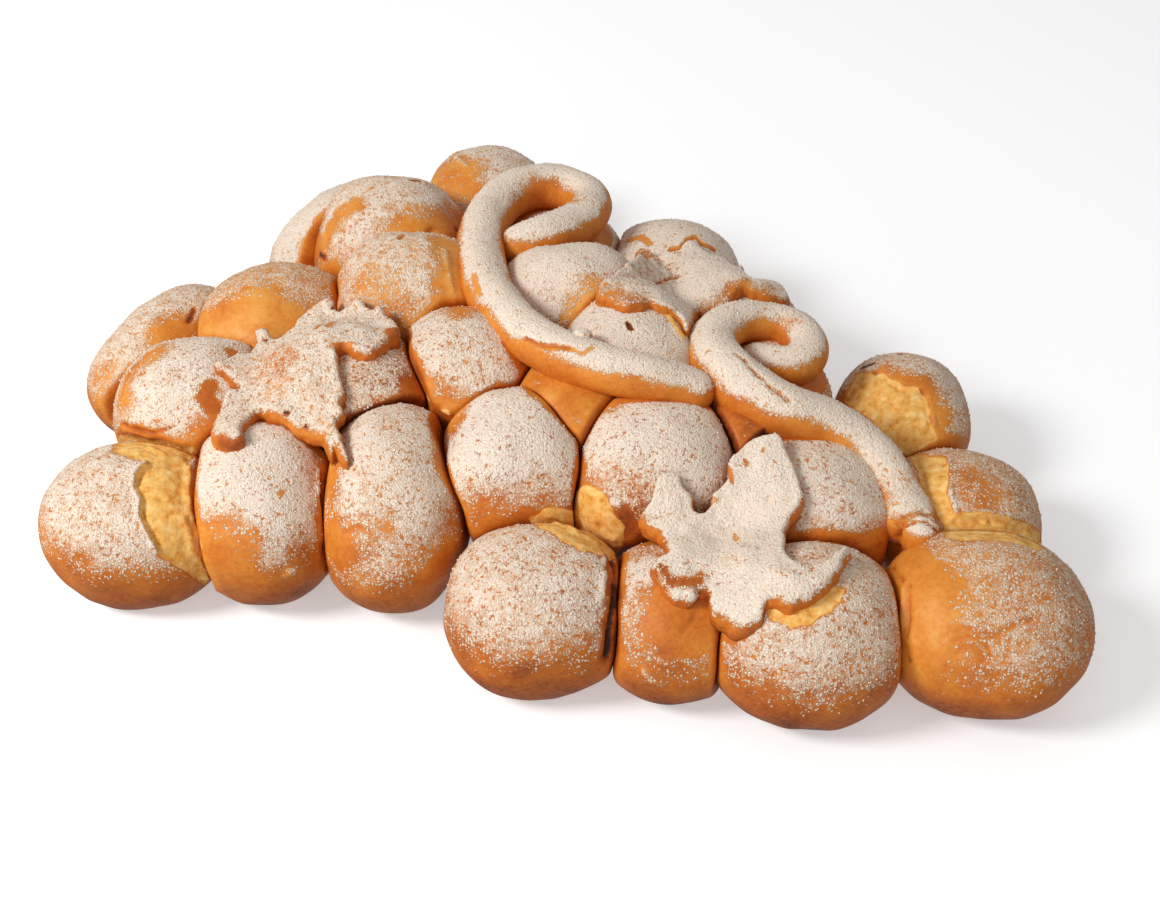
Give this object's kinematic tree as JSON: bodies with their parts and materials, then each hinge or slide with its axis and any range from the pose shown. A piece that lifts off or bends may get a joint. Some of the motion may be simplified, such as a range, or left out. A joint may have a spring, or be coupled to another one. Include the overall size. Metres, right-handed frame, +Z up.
{
  "type": "grape bunch bread",
  "caption": "Decorative loaf in the shape of a bunch of grapes: round rolls heaped in a triangle, with curling dough vines and lobed dough leaves on top, dusted with flour.",
  "frame": {"origin": "on the table, under the middle of the bunch", "axes": "+Z up; +X to the right along the wide front row; +Y towards the narrow end of the bunch"},
  "size_m": [0.5121, 0.435, 0.1131],
  "materials": {
    "crust": "golden brown bread crust, partly covered with flour",
    "floured_crust": "bread crust thickly dusted with flour"
  },
  "bodies": {
    "root": {"roll_01": "crust", "roll_02": "crust", "roll_03": "crust", "roll_04": "crust", "roll_05": "crust", "roll_06": "crust", "roll_07": "crust", "roll_08": "crust", "roll_09": "crust", "roll_10": "crust", "roll_11": "crust", "roll_12": "crust", "roll_13": "crust", "roll_14": "crust", "roll_15": "crust", "roll_16": "crust", "roll_17": "crust", "roll_18": "crust", "roll_19": "crust", "roll_20": "crust", "roll_21": "crust", "roll_22": "crust", "roll_23": "crust", "roll_24": "crust", "roll_25": "crust", "roll_26": "crust", "roll_27": "crust", "roll_28": "crust", "roll_29": "crust", "vine_small": "floured_crust", "vine_large": "floured_crust", "leaf_left": "floured_crust", "leaf_front": "floured_crust", "leaf_back": "floured_crust"}
  },
  "joints": []
}
